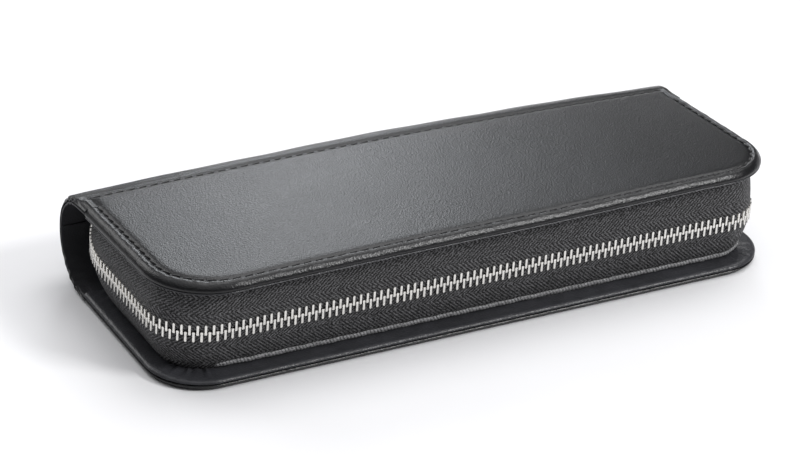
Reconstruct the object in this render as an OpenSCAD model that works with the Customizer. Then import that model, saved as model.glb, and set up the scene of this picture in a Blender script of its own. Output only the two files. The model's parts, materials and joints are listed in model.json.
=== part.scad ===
// Zip-around leather pen case: two stiff leather covers, a half-round leather spine and a zipped wall.
// Origin: middle of the footprint, on the surface it lies on.
// X runs along the case towards the slider, the spine is at +Y, Z is up.

/* [Case] */
// Length of the case
case_l = 168; // [160:1:180]
// Flat width of a cover, from its front edge to the spine fold
cover_w = 51; // [51:1:56]
// Height of the closed case
case_h = 28; // [28:0.5:32]
// Radius of the lid's front corners
lid_corner_r = 17; // [13:1:18]
// Radius of the lower cover's front corners
base_corner_r = 14; // [13:1:18]

/* [Cover layers] */
// Outer leather
skin_t = 0.9; // [0.7:0.1:1]
// Padding under the outer leather
foam_t = 0.4; // [0.3:0.1:0.5]
// Stiffening board
board_t = 0.8; // [0.6:0.1:0.9]
// Leather facing on the rim, and the lining panel beside it
facing_t = 0.6; // [0.4:0.1:0.7]
// Distance of the seam from the cover's edge
seam_inset = 2.8; // [2.4:0.1:3.4]
// Length of one stitch with the gap after it
stitch_pitch = 3; // [2.5:0.1:4]

/* [Spine] */
// Outer leather of the spine
spine_skin_t = 1; // [0.8:0.1:1.1]
// Lining of the spine
spine_lining_t = 0.6; // [0.4:0.1:0.7]

/* [Zip] */
// Distance of the zip tape from the covers' edge
wall_inset = 3.8; // [3.6:0.1:4.5]
// Tooth pitch in one row
tooth_pitch = 1.8; // [1.8:0.1:2]
// Corner radius of the zip at the front
zip_r = 12; // [9:1:13]
// Thickness of the woven tape
tape_t = 0.6; // [0.5:0.05:0.6]
// Thickness of the teeth, across the tape
tooth_t = 2.2; // [2:0.1:2.2]
// Length of the slider
slider_l = 10; // [9:0.5:11]
// Length of the pull tab
pull_l = 20; // [16:1:22]

/* [Pen loops] */
// Number of pen loops
loop_count = 3; // [2:1:3]
// Inner radius of a loop
loop_r = 6; // [5:0.1:6]
// Width of the elastic band
band_w = 22; // [12:1:30]

/* [Hidden] */

black = [0.13, 0.13, 0.14];
dark = [0.09, 0.09, 0.1];
silver = [0.82, 0.82, 0.8];

// Spine shell and its three fold lines, which lie on the shell's inner face
spine_r = case_h / 2;
spine_t = spine_skin_t + spine_lining_t;
spine_in_r = spine_r - spine_t;
fold_gap = 0.15;
spine_seam_a = 16.6;   // turn from the underside to the seam
edge_fold = 22.5;   // half of the turn at the fold beside a cover
middle_fold = 45;   // half of the turn at the middle fold

// Frame
spine_reach = spine_r * cos(slope_at(spine_r, middle_fold));
front_y = -(cover_w + spine_reach) / 2;
fold_y = front_y + cover_w;
mid_z = case_h / 2;
half_l = case_l / 2;

// Cover stack, from the outer face inwards
cover_t = skin_t + foam_t + board_t + facing_t;
rim_h = cover_t - facing_t;
rim_t = 1;
lip_inset = 0.3;
groove_w = 0.8;
groove_d = 0.4;
stitch_w = 0.5;
stitch_h = 0.3;
stitch_gap = 0.7;

// Zip line: a U with round front corners whose ends curve inwards into the spine
zip_x = half_l - wall_inset;
zip_front_y = front_y + wall_inset;
zip_cx = zip_x - zip_r;
zip_cy = zip_front_y + zip_r;
rear_r = 32;
rear_y = fold_y - 11;
rear_cx = zip_x - rear_r;
rear_a = asin((fold_y + 9 - rear_y) / rear_r);
rear_len = rear_r * rear_a * PI / 180;
side_len = rear_y - zip_cy;
corner_len = zip_r * PI / 2;
front_len = 2 * zip_cx;
zip_len = 2 * (rear_len + side_len + corner_len) + front_len;

// Heights measured from the middle plane of the zip
tape_edge = 1;      // edge of each tape
gusset_edge = 5;    // edge of the stiff strip behind each tape
gusset_t = 0.6;
welt_t = 1.1;
welt_h = 1.2;
wall_clear = 0.5;   // between the wall's ends and the spine

// Teeth: half widths and heights of one tooth above the middle plane
head_w = 0.35;
leg_w = 0.31;
head_low = -0.55;
head_high = 0.6;
leg_high = 2.25;

// Slider, parked at the right-hand end with its middle at park_y
park_y = rear_y - 1.5;
channel = tooth_t / 2 + 0.15;
plate_t = 0.7;
slider_face = channel + plate_t;
shoulder_h = 7.4;
tail_h = 5.6;
flange_gap = 0.85;
post_h = 0.85;
post_l = slider_l / 2 - 1.8;
crown_gap = 1;
crown_t = 0.55;
crown_l = 4.6;
crown_w = 1.6;
pin_r = 0.4;
arm_low = 1.2;
arm_high = 2.1;
eye_l = 3.2;
pull_r = 2.7;       // round free end of the pull

// Positions along the zip, from its left-hand end
s_tail_start = 3.4;
s_tail_end = rear_len * 0.5;
s_corner_end = rear_len + side_len + 2 * corner_len + front_len;
s_slider_tail = s_corner_end + (park_y - slider_l / 2 - zip_cy);
s_stop = s_slider_tail + slider_l + 1.6;
stop_l = 1.8;
end_stop_s = 1.6;
end_stop_l = 2.2;

// Loops
loop_pitch = 2 * loop_r + 2.2;
band_t = 0.8;
band_x = 14;
loop_side = 4.4;
loops_y = (zip_front_y + tape_t / 2 + gusset_t + fold_y - fold_gap) / 2;
foot_l = 1.8;

function arc(c, r, a0, a1, n) = [for (i = [0:n]) let (a = a0 + (a1 - a0) * i / n) c + r * [cos(a), sin(a)]];
function back(p) = [for (i = [len(p) - 1:-1:0]) p[i]];

// Outline of a cover with front corners of radius r, moved in by i; the rear edge ends at y
function outline(r, i, y) = concat(
    arc([r - half_l, front_y + r], r - i, 180, 270, 20),
    arc([half_l - r, front_y + r], r - i, 270, 360, 20),
    [[half_l - i, y], [i - half_l, y]]);

// The zip line moved outwards by d
function zip_line(d) = concat(
    arc([-rear_cx, rear_y], rear_r + d, 180 - rear_a, 180, 12),
    arc([-zip_cx, zip_cy], zip_r + d, 180, 270, 18),
    arc([zip_cx, zip_cy], zip_r + d, 270, 360, 18),
    arc([rear_cx, rear_y], rear_r + d, 0, rear_a, 12));

// Point and heading [x, y, angle] at the distance s along the zip
function on_arc(c, r, a) = [c[0] + r * cos(a), c[1] + r * sin(a), a + 90];
function zip_at(s) =
    s < rear_len ? on_arc([-rear_cx, rear_y], rear_r, 180 - rear_a + s / rear_r * 180 / PI) :
    s < rear_len + side_len ? [-zip_x, rear_y - (s - rear_len), 270] :
    s < rear_len + side_len + corner_len ?
        on_arc([-zip_cx, zip_cy], zip_r, 180 + (s - rear_len - side_len) / zip_r * 180 / PI) :
    s < zip_len - rear_len - side_len - corner_len ?
        [s - rear_len - side_len - corner_len - zip_cx, zip_front_y, 0] :
    s < zip_len - rear_len - side_len ?
        on_arc([zip_cx, zip_cy], zip_r, 270 + (s - s_corner_end + corner_len) / zip_r * 180 / PI) :
    s < zip_len - rear_len ? [zip_x, zip_cy + s - s_corner_end, 90] :
        on_arc([rear_cx, rear_y], rear_r, (s - zip_len + rear_len) / rear_r * 180 / PI);

module along_zip(s) {
    p = zip_at(s);
    translate([p[0], p[1], mid_z]) rotate([0, 0, p[2]]) children();
}

// Mirrors a piece in the middle plane of the zip: a piece of the base becomes the same piece of the lid
module as_lid() {
    translate([0, 0, case_h]) mirror([0, 0, 1]) children();
}

module slab(points, z0, z1) {
    translate([0, 0, z0]) linear_extrude(z1 - z0) polygon(points);
}

// Cuts the rear edge of a cover back to the fold line, and slopes it away below the line
module to_fold() {
    slope = spine_t * tan(edge_fold);
    difference() {
        children();
        translate([-half_l - 1, fold_y, 0]) rotate([90, 0, 90]) linear_extrude(case_l + 2)
            polygon([[-fold_gap, case_h], [-fold_gap, spine_t], [-fold_gap - slope * 2, -spine_t],
                     [spine_r, -spine_t], [spine_r, case_h]]);
    }
}

// ---- Covers ----

module leather_tray(r) {
    to_fold() difference() {
        slab(outline(r, 0, fold_y), 0, rim_h);
        slab(outline(r, rim_t, fold_y + 1), skin_t, cover_t);
        seam_groove(r);
    }
}

module seam_groove(r) {
    difference() {
        slab(outline(r, seam_inset - groove_w / 2, fold_y + 1), -1, groove_d);
        slab(outline(r, seam_inset + groove_w / 2, fold_y + 2), -2, groove_d + 1);
    }
}

module padding(r) {
    to_fold() slab(outline(r, rim_t, fold_y), skin_t, skin_t + foam_t);
}

module stiffener(r) {
    to_fold() slab(outline(r, rim_t, fold_y), skin_t + foam_t, rim_h);
}

// Plan of the space inside the wall, moved in by i
module inside_plan(i) {
    intersection() {
        polygon(zip_line(-i));
        translate([-half_l, front_y]) square([case_l, cover_w - fold_gap]);
    }
}

module facing(r) {
    translate([0, 0, rim_h]) linear_extrude(facing_t) difference() {
        polygon(outline(r, lip_inset, fold_y - fold_gap));
        inside_plan(tape_t / 2 + gusset_t);
    }
}

module lining() {
    translate([0, 0, rim_h]) linear_extrude(facing_t) inside_plan(tape_t / 2 + gusset_t);
}

// One stitch, with its middle at the origin and its length along x
module stitch() {
    translate([-(stitch_pitch - stitch_gap) / 2, -stitch_w / 2, groove_d - stitch_h])
        cube([stitch_pitch - stitch_gap, stitch_w, stitch_h]);
}

// A straight row of stitches in the seam groove
module stitch_row(p0, p1) {
    run = norm(p1 - p0);
    n = floor(run / stitch_pitch);
    for (i = [0:n - 1]) translate(concat(p0 + (p1 - p0) * (i + 0.5) / n, [0]))
        rotate([0, 0, atan2(p1[1] - p0[1], p1[0] - p0[0])]) stitch();
}

// The seam along the two ends and the front of a cover
module seam(r) {
    sr = r - seam_inset;
    sx = half_l - seam_inset;
    n = round(sr * PI / 2 / stitch_pitch);
    stitch_row([-sx, fold_y - 1], [-sx, front_y + r]);
    stitch_row([sx, fold_y - 1], [sx, front_y + r]);
    stitch_row([r - half_l, front_y + seam_inset], [half_l - r, front_y + seam_inset]);
    for (side = [0, 1], i = [0:n - 1]) mirror([side, 0, 0])
        translate([r - half_l, front_y + r, 0]) rotate([0, 0, 180 + 90 * (i + 0.5) / n])
            translate([sr, 0, 0]) rotate([0, 0, 90]) stitch();
}

// ---- Zipped wall ----

// A strip of the wall between the offsets d0 and d1, shaped at its ends to clear the spine
module wall(d0, d1, z0, z1) {
    difference() {
        slab(concat(zip_line(d1), back(zip_line(d0))), z0, z1);
        difference() {
            translate([-half_l, fold_y, -1]) cube([case_l, spine_r + 1, case_h + 2]);
            translate([-half_l - 1, fold_y, mid_z]) rotate([0, 90, 0])
                cylinder(h = case_l + 2, r = spine_in_r - wall_clear, $fn = 96);
        }
    }
}

module tape() {
    wall(-tape_t / 2, tape_t / 2, cover_t, mid_z - tape_edge);
}

module gusset() {
    wall(-tape_t / 2 - gusset_t, -tape_t / 2, cover_t, mid_z - gusset_edge);
}

module welt() {
    to_fold() wall(tape_t / 2, tape_t / 2 + welt_t, cover_t, cover_t + welt_h);
}

// A tooth of the upper row, at the middle plane: x along the zip, jaws on both sides of the tape
module tooth() {
    difference() {
        translate([0, tooth_t / 2, 0]) rotate([90, 0, 0]) linear_extrude(tooth_t)
            polygon([[-leg_w, leg_high], [-leg_w, head_high], [-head_w, head_high / 2],
                     [-head_w, head_low + 0.2], [-head_w + 0.15, head_low], [head_w - 0.15, head_low],
                     [head_w, head_low + 0.2], [head_w, head_high / 2], [leg_w, head_high],
                     [leg_w, leg_high]]);
        translate([-1, -tape_t / 2 - 0.05, tape_edge]) cube([2, tape_t + 0.1, leg_high]);
    }
}

// Teeth whose places along the zip are from s0 to s1; the lower row is half a pitch behind the upper one
module tooth_row(s0, s1, lower) {
    first = ceil((s0 - (lower ? 0 : tooth_pitch / 2)) / tooth_pitch);
    last = floor((s1 - (lower ? 0 : tooth_pitch / 2)) / tooth_pitch);
    for (k = [first:last]) along_zip(k * tooth_pitch + (lower ? 0 : tooth_pitch / 2))
        mirror([0, 0, lower ? 1 : 0]) tooth();
}

module row_main(lower) {
    tooth_row(s_tail_end + 0.01, s_corner_end, lower);
}

module row_run(lower) {
    tooth_row(s_corner_end + 0.01, s_slider_tail - 0.5, lower);
}

module row_tail(lower) {
    tooth_row(s_tail_start, s_tail_end, lower);
}

// Metal clamp on the edge of one tape, from the height z0 to z1 above the middle plane
module clamp(s, l, z0, z1) {
    along_zip(s) difference() {
        translate([-l / 2, -tooth_t / 2, z0]) cube([l, tooth_t, z1 - z0]);
        translate([-l, -tape_t / 2 - 0.1, tape_edge]) cube([2 * l, tape_t + 0.2, z1]);
    }
}

// ---- Spine ----

// Half-way angle that a fold's slope takes from a shell face at radius r
function slope_at(r, turn) = asin((fold_gap + (r - spine_in_r) * tan(turn)) / r);

// Lower quarter of a round shell between two radii, sloped for the folds at both ends
module quarter(r0, r1) {
    translate([-half_l, fold_y, mid_z]) rotate([90, 0, 90]) linear_extrude(case_l) polygon(concat(
        arc([0, 0], r1, slope_at(r1, edge_fold) - 90, -slope_at(r1, middle_fold), 20),
        arc([0, 0], r0, -slope_at(r0, middle_fold), slope_at(r0, edge_fold) - 90, 20)));
}

// Puts a piece that is drawn on the underside onto the spine's lower quarter, at the seam
module at_spine_seam() {
    translate([0, fold_y, mid_z]) rotate([spine_seam_a, 0, 0]) translate([0, 0, -mid_z]) children();
}

module spine_skin() {
    difference() {
        quarter(spine_in_r + spine_lining_t, spine_r);
        at_spine_seam() translate([-half_l - 1, -groove_w / 2, -1])
            cube([case_l + 2, groove_w, 1 + groove_d]);
    }
}

module spine_seam() {
    at_spine_seam() stitch_row([1 - half_l, 0], [half_l - 1, 0]);
}

module spine_lining() {
    quarter(spine_in_r, spine_in_r + spine_lining_t);
}

// ---- Slider and pull, drawn with x across the wall, y along it and z up, at the slider's middle ----

module at_slider() {
    translate([zip_x, park_y, mid_z]) children();
}

// Plan of the slider, made narrower by cut on both sides
module plate_plan(cut) {
    half = slider_l / 2;
    tail = tail_h / 2 - cut;
    shoulder = shoulder_h / 2 - cut;
    polygon([[-half, -tail], [-1, -tail], [half - 1.5, -shoulder], [half, -shoulder_h / 2 + 1.2],
             [half, shoulder_h / 2 - 1.2], [half - 1.5, shoulder], [-1, tail], [-half, tail]]);
}

module slider_body() {
    at_slider() {
        difference() {
            translate([-slider_face, 0, 0]) rotate([90, 0, 90]) linear_extrude(2 * slider_face)
                plate_plan(0);
            translate([-channel, 0, 0]) rotate([90, 0, 90]) linear_extrude(2 * channel)
                translate([-0.1, 0]) scale([1.2, 1]) plate_plan(0.7);
            translate([-flange_gap, -slider_l, -shoulder_h])
                cube([2 * flange_gap, 2 * slider_l, 2 * shoulder_h]);
        }
        translate([-channel, 1.6, 0]) rotate([90, 0, 90]) linear_extrude(2 * channel)
            polygon([[0, 0], [1.4, -post_h], [post_l, -post_h], [post_l, post_h], [1.4, post_h]]);
    }
}

// Loop on the slider's face that holds the pull
module slider_crown() {
    at_slider() translate([slider_face, -crown_l / 2, -crown_w / 2]) difference() {
        cube([crown_gap + crown_t, crown_l, crown_w]);
        translate([-1, 0.8, -1]) cube([crown_gap + 1, crown_l - 1.6, crown_w + 2]);
    }
}

module pull_tab() {
    at_slider() translate([slider_face + crown_gap / 2, 0, 0]) {
        translate([0, 0, -arm_high]) cylinder(h = 2 * arm_high, r = pin_r, $fn = 32);
        translate([-pin_r, 0, 0]) rotate([90, 0, 90]) linear_extrude(2 * pin_r) difference() {
            polygon(concat([[0, arm_high], [-eye_l - 2, arm_high]],
                arc([pull_r - pull_l, 0], pull_r, 90, 270, 16),
                [[-eye_l - 2, -arm_high], [0, -arm_high]]));
            translate([-eye_l, -arm_low]) square([eye_l + 1, 2 * arm_low]);
        }
    }
}

// ---- Pen loops ----

// Section of the band over n loops: y along the row, z up from the lining
function loop_arc(y, r) = concat([[y + r, 0]], arc([y, loop_side], r, 0, 180, 16), [[y - r, 0]]);
function loop_ys() = [for (i = [loop_count - 1:-1:0]) loops_y + (i - (loop_count - 1) / 2) * loop_pitch];
function outer_line() =
    [for (y = loop_ys()) for (p = loop_arc(y, loop_r + band_t)) [p[0], max(p[1], band_t)]];
function inner_line() = [for (y = loop_ys()) for (p = loop_arc(y, loop_r)) p];

module pen_loops() {
    first = loop_ys()[0];
    last = loop_ys()[loop_count - 1];
    reach = loop_r + band_t + foot_l;
    translate([band_x, 0, cover_t]) rotate([90, 0, 90]) linear_extrude(band_w)
        polygon(concat([[first + reach, 0], [first + reach, band_t]], outer_line(),
                       [[last - reach, band_t], [last - reach, 0]], back(inner_line())));
}

// Rows of stitches that hold the band down beside each loop
module pen_loop_tacks() {
    edge = loop_r + band_t + foot_l / 2;
    gaps = [for (i = [0:loop_count - 2]) (loop_ys()[i] + loop_ys()[i + 1]) / 2];
    rows = concat([loop_ys()[0] + edge], gaps, [loop_ys()[loop_count - 1] - edge]);
    for (y = rows, i = [0:6]) translate([band_x + 1.2 + i * (band_w - 4.6) / 6, y - 0.25, cover_t + band_t])
        cube([2.2, 0.5, 0.3]);
}

color(black) leather_tray(base_corner_r);  // base_leather
color(dark) padding(base_corner_r);  // base_foam
color("tan") stiffener(base_corner_r);  // base_board
color(black) facing(base_corner_r);  // base_facing
color(dark) lining();  // base_lining
color(dark) gusset();  // base_gusset
color(black) welt();  // base_welt
color(dark) seam(base_corner_r);  // base_seam
color(dark) tape();  // lower_tape
color(silver) row_main(true);  // lower_teeth
color(silver) row_run(true);  // lower_teeth_run
color(silver) row_tail(true);  // lower_teeth_tail
color(silver) as_lid() clamp(s_stop, stop_l, 0.4, leg_high);  // lower_stop
color(silver) as_lid() clamp(end_stop_s, end_stop_l, 0.1, 3);  // end_stop
color(dark) pen_loops();
color(black) pen_loop_tacks();
color(black) as_lid() leather_tray(lid_corner_r);  // lid_leather
color(dark) as_lid() padding(lid_corner_r);  // lid_foam
color("tan") as_lid() stiffener(lid_corner_r);  // lid_board
color(black) as_lid() facing(lid_corner_r);  // lid_facing
color(dark) as_lid() lining();  // lid_lining
color(dark) as_lid() gusset();  // lid_gusset
color(black) as_lid() welt();  // lid_welt
color(dark) as_lid() seam(lid_corner_r);  // lid_seam
color(dark) as_lid() tape();  // upper_tape
color(silver) row_main(false);  // upper_teeth
color(silver) row_run(false);  // upper_teeth_run
color(silver) row_tail(false);  // upper_teeth_tail
color(silver) clamp(s_stop, stop_l, 0.4, leg_high);  // upper_stop
color(black) spine_skin();  // spine_leather_lower
color(dark) spine_lining();  // spine_lining_lower
color(dark) spine_seam();  // spine_seam_lower
color(black) as_lid() spine_skin();  // spine_leather_upper
color(dark) as_lid() spine_lining();  // spine_lining_upper
color(dark) as_lid() spine_seam();  // spine_seam_upper
color(silver) slider_body();
color(silver) slider_crown();
color(silver) pull_tab();
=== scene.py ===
"""Looks of the zip-around leather pen case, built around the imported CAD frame.
Lengths are in mm until a mesh is made."""
import json
import math

import bmesh
import bpy
import numpy as np
from mathutils import Matrix, Vector


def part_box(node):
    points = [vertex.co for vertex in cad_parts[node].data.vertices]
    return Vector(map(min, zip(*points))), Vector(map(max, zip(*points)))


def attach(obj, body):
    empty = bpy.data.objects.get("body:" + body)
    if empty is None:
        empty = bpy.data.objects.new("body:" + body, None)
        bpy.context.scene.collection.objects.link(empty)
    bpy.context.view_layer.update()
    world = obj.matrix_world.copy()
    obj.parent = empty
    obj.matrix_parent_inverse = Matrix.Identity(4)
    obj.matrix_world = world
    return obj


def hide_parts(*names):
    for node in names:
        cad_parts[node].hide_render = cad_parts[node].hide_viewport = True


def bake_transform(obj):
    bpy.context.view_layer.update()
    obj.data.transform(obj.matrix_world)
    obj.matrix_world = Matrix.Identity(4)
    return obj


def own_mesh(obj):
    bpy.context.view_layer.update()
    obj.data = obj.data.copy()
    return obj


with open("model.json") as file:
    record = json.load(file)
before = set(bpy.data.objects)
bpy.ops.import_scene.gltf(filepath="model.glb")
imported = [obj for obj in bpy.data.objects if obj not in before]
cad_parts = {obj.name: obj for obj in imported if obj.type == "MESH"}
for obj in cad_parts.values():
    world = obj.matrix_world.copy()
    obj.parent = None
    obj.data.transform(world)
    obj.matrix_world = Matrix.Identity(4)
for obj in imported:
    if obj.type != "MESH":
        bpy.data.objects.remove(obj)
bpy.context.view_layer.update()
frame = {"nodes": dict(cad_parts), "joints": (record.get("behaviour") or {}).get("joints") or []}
MM = 0.001

# ---- Dimensions, worked out from the frame ----
joints = {j["name"]: j for j in frame["joints"]}
HALF_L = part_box("base_leather")[1].x / MM
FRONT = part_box("base_leather")[0].y / MM
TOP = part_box("lid_leather")[1].z / MM
MID = TOP / 2
FOLD = joints["lid_fold"]["pos_m"][1] / MM
COVER_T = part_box("base_lining")[1].z / MM          # whole thickness of a cover
TAPE_EDGE = 0.55            # from the middle plane to the soft edge of a tape
ZIP_X = (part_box("lower_tape")[1].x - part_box("lower_tape")[0].x) / MM / 2 - 0.3
WALL_INSET = HALF_L - ZIP_X
ZIP_R = 12.0
REAR_R = 32.0
REAR_Y = FOLD - 11.0
ZIP_PAST_FOLD = 9.0         # how far the zip's two ends reach behind the fold
SLIDER_Y = REAR_Y - 1.5     # where the slider rests
TOOTH_PITCH = 1.8
LID_R = 17.0
BASE_R = 14.0
SEAM_INSET = 2.8
LEFT_BEAD = 0.7             # the turned edge is this much wider at the left-hand end
STITCH_PITCH = 3.0
SPLIT_Y = FOLD - 1.5        # where a cover's leather meets the spine's
STEP = 0.6                  # sampling along an edge

# The lid is bowed along its length, stands up a little at its right front corner and falls to the spine
BOW_MID, BOW_ENDS = 0.45, -0.6
CORNER_LIFT = 1.6
REAR_FALL = 1.7


def smoothstep(t):
    t = np.clip(t, 0.0, 1.0)
    return t * t * (3 - 2 * t)


def mix(a, b, t):
    return a + (b - a) * t


# ---- Mesh helpers ----

class Shape:
    """Collects grids and single faces in mm, and turns them into one closed piece."""

    def __init__(self):
        self.points, self.runs, self.faces, self.count = [], [], [], 0

    def add(self, points, run=None):
        points = np.asarray(points, float).reshape(-1, 3)
        self.points.append(points)
        run = np.zeros((len(points), 2)) if run is None else np.asarray(run, float).reshape(-1, 2)
        self.runs.append(run)
        start = self.count
        self.count += len(points)
        return start

    def grid(self, points, run=None, wrap_rows=False, wrap_cols=False):
        """Quads over points[row, col]; returns the vertex numbers in the same layout."""
        points = np.asarray(points, float)
        rows, cols = points.shape[:2]
        ids = self.add(points, run) + np.arange(rows * cols).reshape(rows, cols)
        a = np.vstack([ids, ids[:1]]) if wrap_rows else ids
        a = np.hstack([a, a[:, :1]]) if wrap_cols else a
        quads = np.stack([a[:-1, :-1], a[:-1, 1:], a[1:, 1:], a[1:, :-1]], -1).reshape(-1, 4)
        self.faces.extend(quads.tolist())
        return ids

    def face(self, ids):
        self.faces.append([int(i) for i in ids])

    def piece(self, name, material, warp=None, sharp=38.0):
        points = np.vstack(self.points)
        run = np.vstack(self.runs)
        if warp:
            points = warp(points)
        mesh = bpy.data.meshes.new(name)
        mesh.from_pydata((points * MM).tolist(), [], self.faces)
        layer = mesh.attributes.new("run", "FLOAT_VECTOR", "POINT")
        values = np.column_stack([run, np.zeros(len(run))]).astype(np.float32)
        layer.data.foreach_set("vector", values.ravel())
        bm = bmesh.new()
        bm.from_mesh(mesh)
        bmesh.ops.remove_doubles(bm, verts=bm.verts, dist=0.004 * MM)
        bmesh.ops.dissolve_degenerate(bm, edges=bm.edges, dist=0.002 * MM)
        bmesh.ops.recalc_face_normals(bm, faces=bm.faces)
        limit = math.radians(sharp)
        for f in bm.faces:
            f.smooth = True
        for e in bm.edges:
            e.smooth = not (len(e.link_faces) == 2 and e.calc_face_angle(0.0) > limit)
        bm.to_mesh(mesh)
        bm.free()
        obj = bpy.data.objects.new(name, mesh)
        bpy.context.scene.collection.objects.link(obj)
        mesh.materials.append(material)
        return obj


def smooth_curve(points, n):
    """n evenly spaced points on a smooth curve through the given ones."""
    p = np.array(points, float)
    p = np.vstack([2 * p[0] - p[1], p, 2 * p[-1] - p[-2]])
    t = np.linspace(0, 1, 24, endpoint=False)[:, None]
    parts = []
    for a, b, c, d in zip(p[:-3], p[1:-2], p[2:-1], p[3:]):
        parts.append(0.5 * (2 * b + (c - a) * t + (2 * a - 5 * b + 4 * c - d) * t ** 2
                            + (3 * b - a - 3 * c + d) * t ** 3))
    dense = np.vstack(parts + [p[-2][None]])
    run = np.concatenate([[0], np.cumsum(np.linalg.norm(np.diff(dense, axis=0), axis=1))])
    at = np.linspace(0, run[-1], n)
    return np.column_stack([np.interp(at, run, dense[:, k]) for k in range(dense.shape[1])])


# ---- The lid's shape ----

def depth_share(y):
    """0 at the front edge, 1 at the fold."""
    return np.clip((y - FRONT) / (FOLD - FRONT), 0, 1)


def bow(x, y):
    lift = CORNER_LIFT * smoothstep((x - 5) / (HALF_L - 5)) * (1 - 1.25 * depth_share(y))
    return mix(BOW_MID, BOW_ENDS, (x / HALF_L) ** 2) + lift


def fall(y):
    return -REAR_FALL * depth_share(y) ** 1.3


def lid_share(z):
    """How far a height follows the lid: 0 at the zip, 1 at the cover."""
    return np.clip((z - MID - 2.5) / (TOP - COVER_T - MID - 2.5), 0, 1)


def settle(points):
    """Gives straight pieces of the lid its bow and fall."""
    p = points.copy()
    p[:, 2] += lid_share(p[:, 2]) * (bow(p[:, 0], p[:, 1]) + fall(p[:, 1]))
    return p


def settle_bow(points):
    """The same for the spine, whose own curve already falls."""
    p = points.copy()
    p[:, 2] += lid_share(p[:, 2]) * bow(p[:, 0], FOLD)
    return p


# ---- Covers ----

def rim_path(r, step=STEP):
    """Edge points, outward normals and run along a cover's edge, from the left rear round the front."""
    sides = max(2, round((SPLIT_Y - FRONT - r) / step))
    turn = max(6, round(r * math.pi / 2 / step))
    long = max(8, round(2 * (HALF_L - r) / step))
    y = np.linspace(SPLIT_Y, FRONT + r, sides + 1)
    x = np.linspace(r - HALF_L, HALF_L - r, long + 1)
    a = np.radians(np.linspace(180, 270, turn + 1))[1:-1]
    left = np.column_stack([np.full(len(y), -HALF_L), y])
    corner = np.column_stack([r - HALF_L + r * np.cos(a), FRONT + r + r * np.sin(a)])
    front = np.column_stack([x, np.full(len(x), FRONT)])
    mirror = np.array([-1.0, 1.0])
    edge = np.vstack([left, corner, front, corner[::-1] * mirror, left[::-1] * mirror])
    normal = np.vstack([np.tile([-1.0, 0], (len(y), 1)), np.column_stack([np.cos(a), np.sin(a)]),
                        np.tile([0, -1.0], (len(x), 1)),
                        np.column_stack([-np.cos(a), np.sin(a)])[::-1], np.tile([1.0, 0], (len(y), 1))])
    seam = edge - normal * SEAM_INSET
    run = np.concatenate([[0], np.cumsum(np.linalg.norm(np.diff(seam, axis=0), axis=1))])
    return edge, normal, run, x, y


def left_share(xy):
    """1 along the left-hand end, 0 from the front left corner on."""
    return smoothstep((-xy[:, 0] - HALF_L + 22) / 14)


def rings(profile, edge, normal, lift):
    """A grid of profile points (inset, height) along an edge; lift adds height by inset and place.
    The turned edge is wider at the left-hand end."""
    out = []
    left = left_share(edge)
    for inset, z in profile:
        wide = LEFT_BEAD * left * np.interp(inset, (0.8, 2.6, 4.5, 9.0), (0, 1, 1, 0))
        xy = edge - normal * (inset + wide)[:, None]
        out.append(np.column_stack([xy, z + np.zeros(len(xy)) + lift(inset, xy)]))
    return np.array(out)


def on_cover(upper):
    """Turns heights below a cover's outer face into places. The base's face stays flat on the floor."""
    def place(points):
        p = points.copy()
        p[:, 2] = TOP + p[:, 2] if upper else np.maximum(-p[:, 2], 0.0)
        return settle(p) if upper else p

    return place


def cover_shell(name, material, r, profile, upper, lift=lambda inset, xy: 0.0, step=STEP):
    """A cover's layer: its profile runs from the flat face at inset r out to the edge and back under it.
    Heights are below the outer face, so they are negative."""
    edge, normal, run, xs, ys = rim_path(r, step)
    stops = [(r, profile[0][1])] + profile + [(r, profile[-1][1])]
    ring = rings(stops, edge, normal, lift)
    gx, gy = np.meshgrid(xs, ys)
    flat = np.column_stack([gx.ravel(), gy.ravel()])
    shape = Shape()
    faces = []
    for z, rise in ((profile[0][1], lift(r, flat)), (profile[-1][1], 0.0)):
        panel = np.column_stack([flat, z + rise * np.ones(len(flat))])
        faces.append(shape.grid(panel.reshape(len(ys), len(xs), 3), [(0, r)] * len(panel)))
    ids = shape.grid(ring, [(v, inset) for inset, z in stops for v in run])
    front, back = faces
    shape.face(list(front[0]) + list(ids[1:-1, -1]) + list(back[0][::-1]) + list(ids[1:-1, 0][::-1]))
    return shape.piece(name, material, on_cover(upper))


def rim_band(name, material, r, profile, upper, lift):
    """A band with a closed profile that runs round the two ends and the front of a cover."""
    edge, normal, run = rim_path(r)[:3]
    shape = Shape()
    runs = [(v, inset) for inset, z in profile for v in run]
    ids = shape.grid(rings(profile, edge, normal, lift), runs, wrap_rows=True)
    shape.face(ids[:, 0])
    shape.face(ids[:, -1][::-1])
    return shape.piece(name, material, on_cover(upper))


def puckers(r):
    """Leather pulled down at each stitch hole: deepest in the seam, and stronger at the left-hand end."""
    edge, _, run = rim_path(r)[:3]

    def lift(inset, xy):
        if len(xy) != len(edge):            # the flat panel
            return np.zeros(len(xy))
        wave = 0.5 + 0.5 * np.cos(2 * math.pi * run / STITCH_PITCH)
        strength = mix(0.04, 0.14, left_share(xy))
        band = math.exp(-((inset - 2.2) / 0.8) ** 2)
        wobble = 0.04 * np.sin(run * 0.61) + 0.03 * np.sin(run * 1.37 + 1.0)
        return -strength * wave * band + wobble * math.exp(-((inset - 1.6) / 1.3) ** 2)

    return lift


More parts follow.
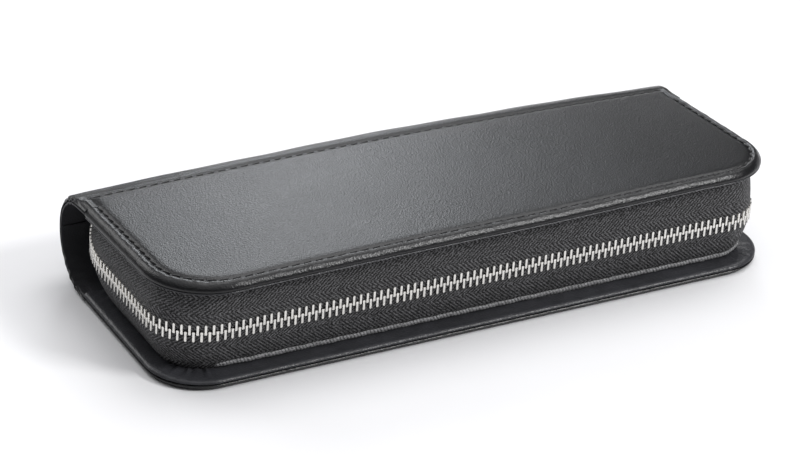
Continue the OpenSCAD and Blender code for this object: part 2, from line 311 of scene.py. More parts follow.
# Sections of a cover's edge, as insets and heights: the outer leather's roll, and the facing's lip below it
BEAD = [(9.0, 0.0), (6.0, 0.0), (4.8, 0.0), (4.0, -0.03), (3.5, -0.1), (3.15, -0.24), (2.85, -0.38),
        (2.6, -0.36), (2.35, -0.2), (2.1, -0.07), (1.8, 0.02), (1.5, -0.02), (1.2, -0.16), (0.88, -0.42),
        (0.56, -0.76), (0.28, -1.12), (0.09, -1.5), (0.06, -1.8), (0.2, -2.05), (0.6, -2.15),
        (1.6, -2.17), (1.6, -1.3)]
FLANGE = [(1.8, -2.73), (2.4, -2.71), (3.1, -2.71), (3.9, -2.7), (4.7, -2.7), (5.5, -2.7), (6.3, -2.7),
          (7.2, -2.7), (7.2, -2.1), (2.2, -2.1)]
LID_LIP = [(2.2, -2.22), (1.3, -2.22), (0.8, -2.22), (0.45, -2.24), (0.26, -2.32), (0.18, -2.44),
           (0.22, -2.58), (0.4, -2.69), (0.8, -2.72), (1.3, -2.73)] + FLANGE
BASE_LIP = [(2.2, -1.6), (1.3, -1.6), (0.8, -1.6), (0.4, -1.64), (0.14, -1.76), (0.04, -1.94),
            (0.12, -2.18), (0.34, -2.42), (0.68, -2.62), (1.15, -2.74)] + FLANGE
BASE_ROLL = 0.7             # thickness of the base's roll, as a share of the lid's
STITCH_LENGTH, STITCH_RADIUS = 2.1, 0.24
STITCH_LEAN = 0.18          # how far a stitch leans across its seam


def stitch_shape():
    """A capsule along x, as rings of points."""
    out = []
    for t in np.radians([-84, -50, -15, 15, 50, 84]):
        x = math.copysign(STITCH_LENGTH / 2 - STITCH_RADIUS, t) + STITCH_RADIUS * math.sin(t)
        around = np.radians(np.arange(0, 360, 60))
        rr = STITCH_RADIUS * math.cos(t) * (1.0 if abs(t) > 0.5 else 1.05)
        out.append(np.column_stack([np.full(6, x), rr * np.cos(around), rr * np.sin(around)]))
    return np.array(out)


def stitches(name, material, places, warp):
    """One capsule at each (point, direction); they lean a little across the seam."""
    local = stitch_shape()
    shape = Shape()
    up = Vector((0, 0, 1))
    for point, direction in places:
        along = Vector(direction).normalized()
        along = (along + up.cross(along).normalized() * STITCH_LEAN).normalized()
        side = up.cross(along).normalized()
        turn = np.array([along, side, along.cross(side)], float)
        capsule = (local.reshape(-1, 3) @ turn + np.array(point)).reshape(local.shape)
        ids = shape.grid(capsule, wrap_cols=True)
        shape.face(ids[0])
        shape.face(ids[-1][::-1])
    return shape.piece(name, material, warp, sharp=80)


def seam_places(r, z):
    """Middles and directions of the stitches along a cover's edge."""
    edge, normal, run = rim_path(r)[:3]
    seam = edge - normal * (SEAM_INSET - 0.05 + LEFT_BEAD * left_share(edge))[:, None]
    out = []
    for k in range(int(run[-1] / STITCH_PITCH)):
        at = (k + 0.5) * STITCH_PITCH
        p = [np.interp(at, run, seam[:, i]) for i in (0, 1)]
        q = [np.interp(at + 0.5, run, seam[:, i]) for i in (0, 1)]
        out.append(((p[0], p[1], z), (q[0] - p[0], q[1] - p[1], 0.0)))
    return out


# ---- Zipped wall ----

ZIP_CX, ZIP_CY = ZIP_X - ZIP_R, FRONT + WALL_INSET + ZIP_R
REAR_CX = ZIP_X - REAR_R
REAR_A = math.asin((FOLD + ZIP_PAST_FOLD - REAR_Y) / REAR_R)
REAR_LEN = REAR_R * REAR_A
SIDE_LEN = REAR_Y - ZIP_CY
TURN_LEN = ZIP_R * math.pi / 2
LONG_LEN = 2 * ZIP_CX
LEFT_END = REAR_LEN + SIDE_LEN
FRONT_START = LEFT_END + TURN_LEN
FRONT_END = FRONT_START + LONG_LEN
RIGHT_START = FRONT_END + TURN_LEN
ZIP_LEN = RIGHT_START + SIDE_LEN + REAR_LEN


def zip_at(s):
    """Point and outward normal of the zip's line at the distance s from its left-hand end."""
    s = np.asarray(s, float)
    m = np.where(s > ZIP_LEN / 2, ZIP_LEN - s, s)           # the right-hand half mirrors the left
    a = np.where(m < REAR_LEN, math.pi - REAR_A + m / REAR_R, math.pi)
    a = np.where(m > LEFT_END, math.pi + np.clip((m - LEFT_END) / ZIP_R, 0, math.pi / 2), a)
    n = np.stack([np.cos(a), np.sin(a)], -1)
    x = np.where(m < REAR_LEN, -REAR_CX + REAR_R * n[..., 0], -ZIP_X)
    y = np.where(m < REAR_LEN, REAR_Y + REAR_R * n[..., 1], REAR_Y - (m - REAR_LEN))
    x = np.where(m > LEFT_END, -ZIP_CX + ZIP_R * n[..., 0] + np.clip(m - FRONT_START, 0, None), x)
    y = np.where(m > LEFT_END, ZIP_CY + ZIP_R * n[..., 1], y)
    side = np.where(s > ZIP_LEN / 2, -1.0, 1.0)
    return np.stack([x * side, y], -1), np.stack([n[..., 0] * side, n[..., 1]], -1)


def along(s, left, front, right, corner=0.0):
    """A value that changes at the zip's two corners; corner adds to it in the middle of the right one."""
    t = np.clip((s - FRONT_END) / TURN_LEN, 0, 1)
    v = mix(left, front, smoothstep((s - LEFT_END) / TURN_LEN))
    return mix(v, right, smoothstep(t)) + corner * np.sin(math.pi * t)


def wall_offset(s, z):
    """The wall bulges out from its foot to the zip and back in under the lid."""
    chain = along(s, 2.6, 0.7, 0.0, corner=1.2)
    foot = along(s, -1.3, -2.3, -1.2) * smoothstep(s / 14 + 0.3)
    head = along(s, 0.3, 0.2, 0.0)
    reach = MID - TAPE_EDGE - COVER_T
    h = np.clip(1 - (np.abs(z - MID) - TAPE_EDGE) / reach, 0, 1)
    return mix(np.where(z < MID, foot, head), chain, np.sin(h * math.pi / 2) ** 0.85)


def strip(name, material, z0, z1, thick, rows, upper, inner=0.0, ripple=None, round_edge=False):
    """A strip of the wall between two heights. inner moves it to the inside of the wall."""
    s = np.linspace(0, ZIP_LEN, round(ZIP_LEN / STEP))
    z = np.linspace(z0, z1, rows)
    outer_face, inner_face = [], []
    point, normal = zip_at(s)
    for zz in z:
        off = wall_offset(s, np.full(len(s), zz)) - inner
        if ripple is not None:
            off = off + ripple(s)
        half = thick / 2
        if round_edge:
            half *= math.sqrt(max(0.05, 1 - (2 * (zz - z0) / (z1 - z0) - 1) ** 2))
        for face, sign in ((outer_face, 1), (inner_face, -1)):
            xy = point + normal * (off + sign * half)[:, None]
            face.append(np.column_stack([xy, np.full(len(s), zz)]))
    loop = np.array(outer_face + inner_face[::-1])
    run = np.array([np.column_stack([s, np.full(len(s), zz)]) for zz in list(z) + list(z)[::-1]])
    shape = Shape()
    ids = shape.grid(loop, run, wrap_rows=True)
    shape.face(ids[:, 0])
    shape.face(ids[:, -1][::-1])
    return shape.piece(name, material, settle if upper else None)


TOOTH_DEPTH = 1.44
TAIL_START = 3.4            # the first tooth comes after the end stop
SLIDER_HALF = 5.0           # half the slider's length
TOOTH_FOOT = 2.25           # from the middle plane to the outer end of a tooth
SLIDER_KEEP = 0.6           # share of their height that the teeth keep in the slider's channel


def tooth_shape():
    """One upper tooth: x along the zip, y out of the wall, z up from the middle plane."""
    right = [(0.32, 1.98), (0.3, 0.9), (0.29, 0.35), (0.36, 0.0), (0.35, -0.3), (0.18, -0.46)]
    left = [(-0.18, -0.46), (-0.35, -0.3), (-0.36, 0.0), (-0.29, 0.35), (-0.3, 0.9), (-0.32, 1.98),
            (-0.18, 2.22), (0.18, 2.22)]
    bm = bmesh.new()
    low = [bm.verts.new((x, -TOOTH_DEPTH / 2, z)) for x, z in right + left]
    face = bm.faces.new(low)
    out = bmesh.ops.extrude_face_region(bm, geom=[face])
    high = [v for v in out["geom"] if isinstance(v, bmesh.types.BMVert)]
    bmesh.ops.translate(bm, vec=(0, TOOTH_DEPTH, 0), verts=high)
    rims = [e for e in bm.edges if abs(e.verts[0].co.y - e.verts[1].co.y) < 1e-6]
    bmesh.ops.bevel(bm, geom=rims, offset=0.13, segments=2, profile=0.6, affect="EDGES", clamp_overlap=True)
    bmesh.ops.recalc_face_normals(bm, faces=bm.faces)
    bm.verts.index_update()
    points = np.array([v.co for v in bm.verts], float)
    faces = [[v.index for v in f.verts] for f in bm.faces]
    bm.free()
    return points, faces


TOOTH = tooth_shape()
CHAIN_S = np.linspace(0, ZIP_LEN, 3000)
CHAIN_LINE = zip_at(CHAIN_S)[0] + zip_at(CHAIN_S)[1] * wall_offset(CHAIN_S, MID)[:, None]
CHAIN_RUN = np.concatenate([[0], np.cumsum(np.linalg.norm(np.diff(CHAIN_LINE, axis=0), axis=1))])


def tooth_row(name, material, first, last, lower, keep):
    """Teeth numbered first to last, each turned to face out of the wall. keep is the share of their
    height that is left."""
    points, faces = TOOTH
    shape = Shape()
    for k in range(first, last + 1):
        s = np.interp((k + (0.0 if lower else 0.5)) * TOOTH_PITCH, CHAIN_RUN, CHAIN_S)
        point, normal = zip_at(s)
        point = point + normal * wall_offset(s, MID)
        p = points.copy()
        p[:, 2] = mix(TOOTH_FOOT, p[:, 2], keep) * (-1.0 if lower else 1.0)
        if lower:
            p[:, 0] *= -1
        world = np.column_stack([point[0] - normal[1] * p[:, 0] + normal[0] * p[:, 1],
                                 point[1] + normal[0] * p[:, 0] + normal[1] * p[:, 1], MID + p[:, 2]])
        start = shape.add(world)
        shape.faces.extend([[start + i for i in f] for f in faces])
    return shape.piece(name, material, sharp=50)


def clamp_piece(name, material, s, length, z0, z1):
    """A stop: a small rounded block clamped on a tape's edge."""
    point, normal = zip_at(s)
    point = point + normal * wall_offset(s, MID)
    ring = []
    for z in np.linspace(z0, z1, 6):
        t = 2 * (z - z0) / (z1 - z0) - 1
        size = (1 - abs(t) ** 5) ** 0.4 * 0.25 + 0.75
        a = np.radians(np.arange(0, 360, 20))
        x = np.sign(np.cos(a)) * np.abs(np.cos(a)) ** 0.5 * length / 2 * size
        y = np.sign(np.sin(a)) * np.abs(np.sin(a)) ** 0.5 * 1.15 * size
        ring.append(np.column_stack([point[0] - normal[1] * x + normal[0] * y,
                                     point[1] + normal[0] * x + normal[1] * y, np.full(len(a), z)]))
    shape = Shape()
    ids = shape.grid(np.array(ring), wrap_cols=True)
    shape.face(ids[0])
    shape.face(ids[-1][::-1])
    return shape.piece(name, material)


# ---- Spine ----

# Section of the spine's outer face: distance behind the covers' front edge, and height
SPINE_SECTION = [(49.5, 26.36), (53.0, 26.1), (56.0, 25.8), (58.2, 25.3), (60.4, 24.0), (62.3, 22.0),
                 (64.0, 19.5), (64.8, 16.8), (65.0, 14.2), (64.5, 10.4), (62.9, 6.8), (60.3, 3.7),
                 (56.8, 1.35), (53.0, 0.4), (49.5, 0.04)]
SPINE_ROWS = 120
SPINE_SEAM = 55.0           # the same distance, for the stitching along the spine
SPINE_SEAM_END = 4.0        # how far from each end it stops
END_ROW = 0.06              # place of the extra row near each end of a stretch, between two rows


def spine_curve():
    c = smooth_curve(SPINE_SECTION, SPINE_ROWS)
    c[:, 0] += FRONT
    t = np.gradient(c, axis=0)
    t /= np.linalg.norm(t, axis=1)[:, None]
    return c, np.column_stack([-t[:, 1], t[:, 0]])


SPINE_CURVE, SPINE_NORMAL = spine_curve()


def spine_stations():
    """Places along x, close together at the ends, where the leather is rolled over."""
    near = np.array([0, 0.08, 0.25, 0.5, 0.8, 1.1, 1.5, 1.9, 2.2, 2.5, 2.75, 3.0, 3.3, 3.8, 4.6, 6.0])
    mid = np.linspace(7.5, 2 * HALF_L - 7.5, 130)
    return np.concatenate([near, mid, 2 * HALF_L - near[::-1]]) - HALF_L


def spine_lift(x, y, z):
    """Height of the leather over the section's curve: rolled ends, seam, creases and slack."""
    inset = HALF_L - np.abs(x)
    back = y - FRONT
    bead_inset, bead_height = np.array(BEAD[13::-1]).T
    wide = LEFT_BEAD * (x < 0) * np.interp(inset, (0.8, 3.3, 5.2, 9.0), (0, 1, 1, 0))
    bead = np.interp(inset - wide, bead_inset, bead_height)
    near_cover = smoothstep((55.5 - back) / 3.0)
    roll = -0.5 * np.exp(-(inset / 0.35) ** 2)
    out = np.where(inset < 9, bead, 0.0) * near_cover + roll * (1 - near_cover)
    upper = z > MID
    seam = np.exp(-((back - SPINE_SEAM) / 0.75) ** 2) * upper
    hole = 0.5 + 0.5 * np.cos(2 * math.pi * (x + HALF_L) / STITCH_PITCH)
    out -= seam * (0.28 + 0.14 * hole) * smoothstep((inset - 1.0) / 2)
    left = smoothstep((-x - 34) / 44)
    for centre, slant, depth in ((57.0, 0.020, 0.34), (59.0, 0.045, 0.42), (61.2, 0.075, 0.30)):
        line = centre - slant * (x + HALF_L)
        out -= depth * left * upper * np.exp(-((back - line) / 0.42) ** 2)
        out += 0.5 * depth * left * upper * np.exp(-((back - line - 0.9) / 0.6) ** 2)
    low = smoothstep((9.0 - z) / 5) * smoothstep((back - 51) / 3) * np.exp(-(inset / 6.0) ** 2)
    out += low * (0.32 * np.sin(back * 2.2 + inset * 0.5) + 0.2 * np.sin(back * 3.9 - inset * 0.7 + 1.0))
    out += 0.08 * np.sin(x * 0.11 + back * 0.35) * smoothstep((back - 56) / 4)
    out += 0.05 * np.sin(x * 0.31 - z * 0.5 + 1.3) * smoothstep((back - 56) / 4)
    return out


def spine_part(name, material, row0, row1, outer, thick):
    """A stretch of the spine's leather or lining; outer is the depth of its outer face. A row close to each
    end keeps the shading flat up to where it meets the next stretch."""
    def rows(whole):
        c = whole[row0:row1 + 1]
        first, last = mix(c[:1], c[1:2], END_ROW), mix(c[-1:], c[-2:-1], END_ROW)
        return np.vstack([c[:1], first, c[1:-1], last, c[-1:]])

    xs = spine_stations()
    curve, normal = rows(SPINE_CURVE), rows(SPINE_NORMAL)
    n = len(curve)
    y = np.repeat(curve[:, 0][:, None], len(xs), 1)
    z = np.repeat(curve[:, 1][:, None], len(xs), 1)
    x = np.repeat(xs[None], n, 0)
    lift = spine_lift(x, y, z)
    swell = 0.7 * (1 - (x / HALF_L) ** 2) * smoothstep((y - FOLD - 2) / 8)
    inset = HALF_L - np.abs(x)
    faces = []
    for depth, keep in ((outer, 1.0), (outer + thick, 0.35)):
        edge = np.exp(-(inset / 0.3) ** 2) * 0.3 * (1 if depth == outer else -1)
        d = lift * keep + swell - depth - edge
        ny, nz = normal[:, 0][:, None], normal[:, 1][:, None]
        faces.append(np.stack([x, y + ny * d, z + nz * d], -1))
    shape = Shape()
    loop = np.concatenate([faces[0], faces[1][:, ::-1]], axis=1)
    run = np.stack([loop[..., 0], HALF_L - np.abs(loop[..., 0])], -1)
    ids = shape.grid(loop, run, wrap_cols=True)
    shape.face(ids[0])
    shape.face(ids[-1][::-1])
    return shape.piece(name, material, settle_bow)


# ---- Materials ----

class Nodes:
    """Short calls for building one node material."""

    def __init__(self, name):
        self.material = bpy.data.materials.new(name)
        self.material.use_nodes = True
        self.tree = self.material.node_tree
        self.tree.nodes.clear()
        self.out = self.tree.nodes.new("ShaderNodeOutputMaterial")
        self.bsdf = self.tree.nodes.new("ShaderNodeBsdfPrincipled")
        self.link(self.bsdf.outputs["BSDF"], self.out.inputs["Surface"])

    def link(self, a, b):
        self.tree.links.new(a, b)

    def new(self, kind, **inputs):
        node = self.tree.nodes.new("ShaderNode" + kind)
        for key, value in inputs.items():
            self.put(node, key, value)
        return node

    def put(self, node, key, value):
        name = key.replace("_", " ")
        socket = node.inputs[int(key[1:])] if key[0] == "i" and key[1:].isdigit() else node.inputs[name]
        if isinstance(value, bpy.types.NodeSocket):
            self.link(value, socket)
        else:
            socket.default_value = value

    def math(self, op, a, b):
        node = self.tree.nodes.new("ShaderNodeMath")
        node.operation = op
        for i, v in enumerate((a, b)):
            self.put(node, "i%d" % i, v)
        return node.outputs[0]

    def coords(self, stretch=(1, 1, 1)):
        tex = self.new("TexCoord").outputs["Object"]
        mapping = self.new("Mapping", Vector=tex)
        mapping.inputs["Scale"].default_value = stretch
        return mapping.outputs["Vector"]

    def run(self):
        """A piece's own coordinates: the run along its edge, and its inset or height."""
        node = self.new("Attribute")
        node.attribute_name = "run"
        split = self.new("SeparateXYZ", Vector=node.outputs["Vector"])
        return split.outputs["X"], split.outputs["Y"]

    def noise(self, vector, scale, detail=3.0, rough=0.5):
        node = self.new("TexNoise", Vector=vector, Scale=scale, Detail=detail, Roughness=rough)
        return node.outputs["Fac"]

    def voronoi(self, vector, scale):
        return self.new("TexVoronoi", Vector=vector, Scale=scale).outputs["Distance"]

    def ramp(self, value, *stops):
        node = self.new("ValToRGB", Fac=value)
        ramp = node.color_ramp
        while len(ramp.elements) < len(stops):
            ramp.elements.new(0.5)
        for element, (at, colour) in zip(ramp.elements, stops):
            element.position = at
            element.color = (*colour, 1.0)
        return node.outputs["Color"]

    def rough(self, value, low, high):
        node = self.new("MapRange", Value=value)
        node.inputs["To Min"].default_value = low
        node.inputs["To Max"].default_value = high
        return node.outputs["Result"]

    def bump(self, height, distance, strength, normal=None):
        node = self.new("Bump", Height=height)
        node.inputs["Distance"].default_value = distance
        node.inputs["Strength"].default_value = strength
        if normal is not None:
            self.link(normal, node.inputs["Normal"])
        return node.outputs["Normal"]

    def surface(self, **values):
        for key, value in values.items():
            self.put(self.bsdf, key, value)
        return self.material


def cool(v):
    """A grey with a touch of blue."""
    return (v * 0.96, v * 0.98, v * 1.10)


def leather(name, dark, light, low, high, grain=1.0, edge_gloss=0.0):
    """Fine-grained leather: pebbles of half a millimetre, pores, and slow change of tone and gloss.
    With edge_gloss the turned edge, rubbed in use, is smoother than the panel."""
    n = Nodes(name)
    panel = n.new("MapRange", Value=n.run()[1])
    for key, value in (("From Min", 2.2), ("From Max", 4.2), ("To Min", 1.0 - edge_gloss), ("To Max", 1.0)):
        panel.inputs[key].default_value = value
    panel = panel.outputs["Result"]
    at = n.coords()
    pebbles = n.voronoi(at, 2250.0)
    fine = n.noise(at, 4200.0, 2.0, 0.6)
    wide = n.noise(at, 45.0, 4.0, 0.55)
    worn = n.noise(at, 320.0, 3.0, 0.5)
    height = n.math("ADD", n.math("MULTIPLY", pebbles, 0.8), n.math("MULTIPLY", fine, 0.35))
    normal = n.bump(height, 0.00008 * grain, 0.7)
    normal = n.bump(worn, 0.00006, 0.25, normal)
    colour = n.ramp(n.math("ADD", n.math("MULTIPLY", wide, 0.6), n.math("MULTIPLY", worn, 0.4)),
                    (0.3, dark), (0.72, light))
    gloss = n.math("MULTIPLY", n.rough(wide, low, high), panel)
    return n.surface(Base_Color=colour, Roughness=gloss, Normal=normal, Specular_IOR_Level=0.36)


def woven(name, colour):
    """Herringbone tape: ribs of small floats, which slant one way in one stripe and the other in the next.
    The tone follows the weave's height: painted highlights on the rib tops, painted shade in the hollows.
    """
    n = Nodes(name)
    s, z = n.run()
    stripe = n.math("PINGPONG", n.math("SUBTRACT", z, MID), 4.6)
    rib = n.math("PINGPONG", n.math("ADD", s, n.math("MULTIPLY", stripe, 1.1)), 0.55)
    rib = n.math("DIVIDE", rib, 0.55)
    floats = n.math("PINGPONG", n.math("SUBTRACT", z, n.math("MULTIPLY", s, 0.25)), 0.26)
    floats = n.math("DIVIDE", floats, 0.26)
    at = n.coords()
    fuzz = n.noise(at, 2100.0, 3.0, 0.6)
    height = n.math("ADD", n.math("MULTIPLY", rib, 0.6), n.math("MULTIPLY", floats, 0.3))
    height = n.math("ADD", height, n.math("MULTIPLY", n.math("SUBTRACT", fuzz, 0.5), 2.2))
    # Painted highlight and shade: rib tops lighter, hollows between the floats darker.
    tone = n.ramp(height, (0.25, tuple(c * 0.04 for c in colour)), (0.9, colour))
    return n.surface(Base_Color=tone, Roughness=n.rough(fuzz, 0.45, 0.7),
                     Normal=n.bump(height, 0.00035, 1.0), Specular_IOR_Level=0.3)


def ribbed(name, colour, spacing):
    """Corded binding at the foot of the tape: tight ribs across it, with painted shade between them."""
    n = Nodes(name)
    s, z = n.run()
    slant = n.math("ADD", s, n.math("MULTIPLY", z, 0.5))
    rib = n.math("DIVIDE", n.math("PINGPONG", slant, spacing), spacing)
    fuzz = n.noise(n.coords(), 2600.0, 3.0, 0.6)
    uneven = n.math("SUBTRACT", n.math("MULTIPLY", fuzz, 1.6), 0.5)
    height = n.math("ADD", n.math("MULTIPLY", rib, 0.5), uneven)
    # Painted shade: the tone follows the rib height, darker in the hollows between the cords and lighter on
    # their crests.
    tone = n.ramp(height, (0.2, tuple(c * 0.12 for c in colour)), (0.9, colour))
    return n.surface(Base_Color=tone, Roughness=n.rough(fuzz, 0.6, 0.8), Normal=n.bump(height, 0.0002, 0.8),
                     Sheen_Weight=0.2)


def metal(name, colour, low, high):
    """Plated zip metal with light wear."""
    n = Nodes(name)
    at = n.coords()
    wear = n.noise(at, 700.0, 4.0, 0.6)
    scuff = n.noise(n.coords((1, 1, 4)), 2600.0, 2.0, 0.5)
    tone = n.ramp(wear, (0.25, tuple(c * 0.8 for c in colour)), (0.65, colour))
    return n.surface(Base_Color=tone, Metallic=1.0, Roughness=n.rough(wear, low, high),
                     Normal=n.bump(scuff, 0.00002, 0.5))


def fibrous(name, colour, scale):
    """Thread, felt, board and elastic: soft, matt and slightly uneven."""
    n = Nodes(name)
    at = n.coords()
    fuzz = n.noise(at, scale, 4.0, 0.65)
    tone = n.ramp(fuzz, (0.3, tuple(c * 0.5 for c in colour)), (0.7, colour))
    return n.surface(Base_Color=tone, Roughness=n.rough(fuzz, 0.6, 0.85), Normal=n.bump(fuzz, 0.0001, 0.6),
                     Sheen_Weight=0.15)


def elastic(name, colour):
    """Ribbed elastic webbing: cords run across the loops, with painted shade in the grooves between them."""
    n = Nodes(name)
    at = n.new("SeparateXYZ", Vector=n.new("TexCoord").outputs["Object"]).outputs["X"]
    rib = n.math("DIVIDE", n.math("PINGPONG", at, 0.0006), 0.0006)
    fuzz = n.noise(n.coords(), 2400.0, 3.0, 0.6)
    height = n.math("ADD", n.math("POWER", rib, 0.6), n.math("MULTIPLY", fuzz, 0.25))
    # Painted shade: the tone follows the cord profile, darker in the grooves between the cords.
    tone = n.ramp(height, (0.2, tuple(c * 0.35 for c in colour)), (1.1, colour))
    return n.surface(Base_Color=tone, Roughness=n.rough(fuzz, 0.6, 0.8), Normal=n.bump(height, 0.0003, 0.8),
                     Sheen_Weight=0.2)


M_LEATHER = leather("satin_leather", cool(0.005), cool(0.011), 0.29, 0.36, edge_gloss=0.08)
# The facing is the same black leather as the skin, painted lighter. Its base colour stands in for the satin
# sheen on the lid's lip roll and for light on the flange, which lies in the wall's shade.
M_FACING_PAINTED_LIGHT = leather("facing_leather_painted_light", cool(0.025), cool(0.05), 0.27, 0.36, grain=1.2)
M_LINING = leather("lining_leather", cool(0.018), cool(0.030), 0.45, 0.6, grain=0.8)
M_TAPE = woven("zip_tape_painted_rib_light", (0.17, 0.169, 0.175))
M_WELT = ribbed("tape_binding", (0.42, 0.42, 0.43), 0.45)
M_TEETH = metal("nickel_teeth", (0.80, 0.785, 0.75), 0.2, 0.34)
M_SLIDER = metal("nickel_slider", (0.55, 0.54, 0.52), 0.2, 0.36)
M_THREAD = fibrous("black_thread", (0.015, 0.015, 0.016), 5200.0)
M_FELT = fibrous("grey_felt", (0.2, 0.2, 0.21), 1400.0)
M_BOARD = fibrous("grey_board", (0.34, 0.29, 0.22), 900.0)
M_ELASTIC = elastic("elastic_webbing", (0.03, 0.03, 0.032))


# ---- Building the case ----

def put(piece, body, slot, *nodes):
    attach(piece, body)
    if nodes:
        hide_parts(*nodes)
    return piece


def facing_creases(inset, xy):
    """Small radial pleats where the facing goes round the front corners, and creases along its ends."""
    x, y = xy.T
    a = np.arctan2(y - (FRONT + BASE_R), np.abs(x) - (HALF_L - BASE_R))
    if inset < 0.9:
        return 0.0 * a
    corner = smoothstep((-a - 0.1) / 0.3) * smoothstep((a + 1.6) / 0.3)
    pleats = 0.2 * corner * (np.cos(a * 26) + 0.5 * np.cos(a * 41 + 1))
    rear = np.exp(-((FOLD - 4 - y) / 7.0) ** 2)
    ends = 0.1 * np.cos(y * 1.1 + inset * 0.8) * left_share(xy) + 0.16 * rear * np.cos(y * 2.1 - inset)
    waves = 0.05 * np.sin(x * 0.45 + inset * 1.3) + 0.04 * np.sin(x * 1.1 - inset * 0.9)
    return math.exp(-((inset - 5.0) / 3.0) ** 2) * (pleats + ends + waves)


def build_cover(body, r, upper):
    """A cover's layers, from the outside in."""
    roll, lip = (BEAD, LID_LIP) if upper else ([(inset, z * BASE_ROLL) for inset, z in BEAD], BASE_LIP)
    put(cover_shell(body + "_leather_skin", M_LEATHER, r, roll, upper, puckers(r)), body, "leather",
        body + "_leather")
    put(rim_band(body + "_facing_band", M_FACING_PAINTED_LIGHT, r, lip, upper, facing_creases), body, "leather",
        body + "_facing")
    foam_section = [(2.0, -0.92), (2.0, -1.2)]
    foam = put(cover_shell(body + "_foam_layer", M_FELT, r, foam_section, upper, step=3.0), body, "padding",
               body + "_foam")
    board_section = [(2.4, -1.24), (2.4, -2.04)]
    put(cover_shell(body + "_board_layer", M_BOARD, r, board_section, upper, step=3.0), body, "board",
        body + "_board")
    lining_section = [(8.4, -2.74), (7.3, -2.66), (7.25, -2.1)]
    put(cover_shell(body + "_lining_panel", M_LINING, r, lining_section, upper, step=2.0), body, "lining",
        body + "_lining")
    places = seam_places(r, TOP - 0.3 if upper else 0.3)
    put(stitches(body + "_stitches", M_THREAD, places, settle if upper else None), body, "thread",
        body + "_seam")


def tuck(s):
    """The binding wanders a little, and slips in behind the tape at the left-hand end."""
    return 0.07 * np.sin(s * 0.9) + 0.05 * np.sin(s * 2.3) - 1.3 * smoothstep((FRONT_START + 8 - s) / 20)


def build_wall(body, row, upper):
    """A cover's half of the wall: the tape, the gusset behind it and the binding at its foot."""
    def z(h):
        return TOP - h if upper else h

    put(strip(body + "_tape_weave", M_TAPE, z(COVER_T - 0.15), z(MID - TAPE_EDGE), 0.6, 18, upper),
        body, "tape", row + "_tape")
    gusset_edge = 9.0
    put(strip(body + "_gusset_strip", M_LINING, z(COVER_T), z(gusset_edge), 0.55, 6, upper, inner=0.62),
        body, "tape", body + "_gusset")
    reach = 0.7 if upper else 1.6
    put(strip(body + "_tape_binding", M_WELT, z(COVER_T - 0.1), z(COVER_T + reach), 1.0, 7, upper,
              inner=-0.5, ripple=tuck, round_edge=True), body, "tape", body + "_welt")


def build_zip():
    """Each row of teeth is four pieces: the tail at the left rear, the closed chain, the run that the slider
    passes over, and the teeth under the slider at rest, which its channel presses in."""
    tail_end = REAR_LEN / 2
    slider = RIGHT_START + SLIDER_Y - ZIP_CY
    run_end = slider - SLIDER_HALF - 0.5
    parked_end = slider + SLIDER_HALF
    stop = parked_end + 1.6
    for row, body, lower in (("lower", "base", True), ("upper", "lid", False)):
        half = 0.0 if lower else 0.5

        def teeth(stretch, start, end, keep=1.0):
            first, last = np.interp((start, end), CHAIN_S, CHAIN_RUN) / TOOTH_PITCH - half
            return tooth_row(row + stretch, M_TEETH, math.ceil(first), math.floor(last), lower, keep)

        put(teeth("_tail_teeth", TAIL_START, tail_end), body, "zip_metal", row + "_teeth_tail")
        put(teeth("_chain_teeth", tail_end + 0.01, RIGHT_START), body, "zip_metal", row + "_teeth")
        run = put(teeth("_run_teeth", RIGHT_START + 0.01, run_end), body, "zip_metal", row + "_teeth_run")
        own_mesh(run)
        put(teeth("_parked_teeth", run_end + 0.01, parked_end, SLIDER_KEEP), body, "zip_metal")
    for name, body, node, s, length, z0, z1 in (
            ("lower_stop_clamp", "base", "lower_stop", stop, 1.8, MID - 2.3, MID - 0.4),
            ("upper_stop_clamp", "lid", "upper_stop", stop, 1.8, MID + 0.4, MID + 2.3),
            ("end_stop_clamp", "base", "end_stop", 1.6, 2.2, MID - 3.0, MID - 0.1)):
        put(clamp_piece(name, M_TEETH, s, length, z0, z1), body, "zip_metal", node)


def build_spine():
    """Each half reaches all the way from its cover to the middle of the back."""
    z = SPINE_CURVE[:, 1]
    middle = int(np.argmin(np.abs(z - MID)))
    halves = (("upper", "lid", 0, middle), ("lower", "base", middle, SPINE_ROWS - 1))
    for layer, material, outer, thick in (("leather", M_LEATHER, 0.0, 0.9), ("lining", M_LINING, 0.93, 0.55)):
        for half, cover, row0, row1 in halves:
            name = "spine_%s_%s" % (layer, half)
            piece = spine_part(name + "_shell", material, row0, row1, outer, thick)
            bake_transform(piece)
            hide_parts(name)
    length = 2 * (HALF_L - SPINE_SEAM_END)
    n = int(length / STITCH_PITCH)
    x = -length / 2 + (np.arange(n) + 0.5) * length / n
    for half, own, rise, warp in (("upper", z > MID, -0.3, settle_bow), ("lower", z < MID, 0.02, None)):
        row = int(np.argmin(np.where(own, np.abs(SPINE_CURVE[:, 0] - FRONT - SPINE_SEAM), np.inf)))
        places = [((v, SPINE_CURVE[row, 0], z[row] + rise), (1, 0, 0)) for v in x]
        put(stitches("spine_stitches_" + half, M_THREAD, places, warp), "spine_" + half, "thread",
            "spine_seam_" + half)


def dress_cad_nodes():
    """CAD pieces that keep their own shape get a material, and the metal ones softened edges."""
    for name, material in (("slider_body", M_SLIDER), ("slider_crown", M_SLIDER), ("pull_tab", M_SLIDER),
                           ("pen_loops", M_ELASTIC), ("pen_loop_tacks", M_THREAD)):
        obj = frame["nodes"][name]
        obj.data.materials.clear()
        obj.data.materials.append(material)
        if material is M_SLIDER:
            bevel = obj.modifiers.new("edges", "BEVEL")
            bevel.width = 0.16 * MM
            bevel.segments = 3
            bevel.limit_method = "ANGLE"


build_cover("base", BASE_R, False)
build_cover("lid", LID_R, True)
build_wall("base", "lower", False)
build_wall("lid", "upper", True)
build_zip()
build_spine()
dress_cad_nodes()


# ---- Floor, light and camera ----

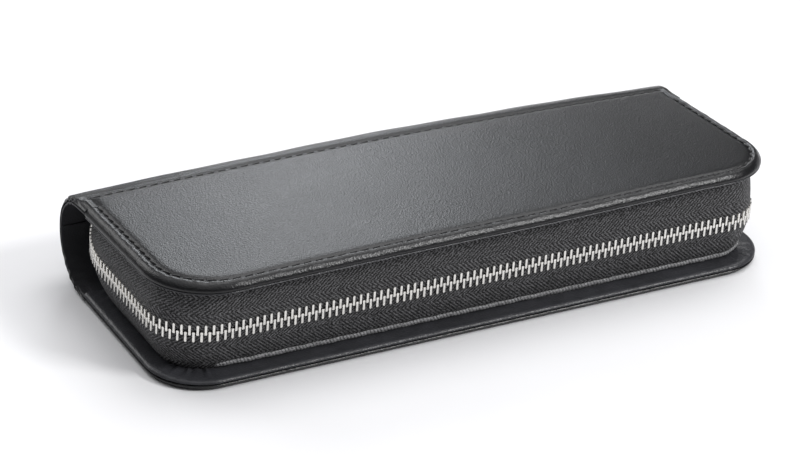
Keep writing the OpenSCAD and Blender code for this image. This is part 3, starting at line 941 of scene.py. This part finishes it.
def build_stage():
    half = 4.0
    mesh = bpy.data.meshes.new("floor")
    corners = [(-half, -half, 0), (half, -half, 0), (half, half, 0), (-half, half, 0)]
    mesh.from_pydata(corners, [], [(0, 1, 2, 3)])
    floor = bpy.data.objects.new("floor", mesh)
    bpy.context.scene.collection.objects.link(floor)
    n = Nodes("pale_floor")
    grain = n.noise(n.coords(), 30.0)
    tone = n.ramp(grain, (0.0, (0.80, 0.80, 0.81)), (1.0, (0.83, 0.83, 0.84)))
    floor.data.materials.append(n.surface(Base_Color=tone, Roughness=0.8))


def area_light(name, place, target, size, power, colour=(1, 1, 1)):
    data = bpy.data.lights.new(name, "AREA")
    data.shape = "RECTANGLE"
    data.size, data.size_y = size
    data.energy = power
    data.color = colour
    light = bpy.data.objects.new(name, data)
    light.location = place
    light.rotation_mode = "QUATERNION"
    light.rotation_quaternion = (Vector(target) - Vector(place)).to_track_quat("-Z", "Y")
    bpy.context.scene.collection.objects.link(light)


def build_light():
    """A dark studio with a bright ceiling and a soft sun. Behind the case a softbox lights the lid, a larger
    one the left-hand roll, and a low card the spine's top. One at the front right lights the front roll."""
    world = bpy.data.worlds.new("studio")
    bpy.context.scene.world = world
    world.use_nodes = True
    tree = world.node_tree
    coords = tree.nodes.new("ShaderNodeTexCoord")
    split = tree.nodes.new("ShaderNodeSeparateXYZ")
    ramp = tree.nodes.new("ShaderNodeValToRGB")
    tree.links.new(coords.outputs["Generated"], split.inputs["Vector"])
    tree.links.new(split.outputs["Z"], ramp.inputs["Fac"])
    tree.links.new(ramp.outputs["Color"], tree.nodes["Background"].inputs["Color"])
    levels = ((0.0, 0.05), (0.55, 0.06), (0.80, 0.55), (1.0, 1.0))
    while len(ramp.color_ramp.elements) < len(levels):
        ramp.color_ramp.elements.new(0.5)
    for element, (at, v) in zip(ramp.color_ramp.elements, levels):
        element.position = at
        element.color = (v, v, v * 1.02, 1)
    tree.nodes["Background"].inputs["Strength"].default_value = 1.4
    area_light("back_softbox", (0.262, 0.62, 0.37), (-0.02, 0, 0.01), (0.16, 0.28), 0.90, (0.93, 0.96, 1.0))
    area_light("front_softbox", (0.46, -0.56, 0.62), (0, 0, 0.01), (0.24, 0.18), 5.0)
    area_light("bead_light", (-0.30, 0.62, 0.42), (-0.06, 0, 0.02), (0.42, 0.34), 1.5)
    area_light("horizon_card", (0.31, 0.62, 0.05), (0, 0.02, 0.02), (0.40, 0.10), 0.2)
    data = bpy.data.lights.new("high_key", "SUN")
    data.energy, data.angle = 0.9, 0.7
    key = bpy.data.objects.new("high_key", data)
    key.rotation_mode = "QUATERNION"
    key.rotation_quaternion = Vector((-0.38, -0.28, -0.88)).to_track_quat("-Z", "Y")
    bpy.context.scene.collection.objects.link(key)


def build_camera():
    """A long lens from the front left, a little above, with the horizon tipped slightly."""
    yaw, pitch, roll = (math.radians(a) for a in (-29.97, 28.38, 3.70))
    back = Vector((math.sin(yaw) * math.cos(pitch), -math.cos(yaw) * math.cos(pitch), math.sin(pitch)))
    right = Vector((math.cos(yaw), math.sin(yaw), 0))
    up = back.cross(right)
    x = right * math.cos(roll) + up * math.sin(roll)
    y = up * math.cos(roll) - right * math.sin(roll)
    camera = bpy.data.objects.new("camera", bpy.data.cameras.new("camera"))
    camera.data.lens = 147.1
    camera.data.sensor_width = 36.0
    camera.data.clip_start = 0.01
    place = Vector((-360.1, -612.1, 394.1)) * MM
    camera.matrix_world = Matrix.Translation(place) @ Matrix((x, y, back)).transposed().to_4x4()
    bpy.context.scene.collection.objects.link(camera)
    bpy.context.scene.camera = camera


build_stage()
build_light()
build_camera()
bpy.context.scene.view_settings.view_transform = "Standard"
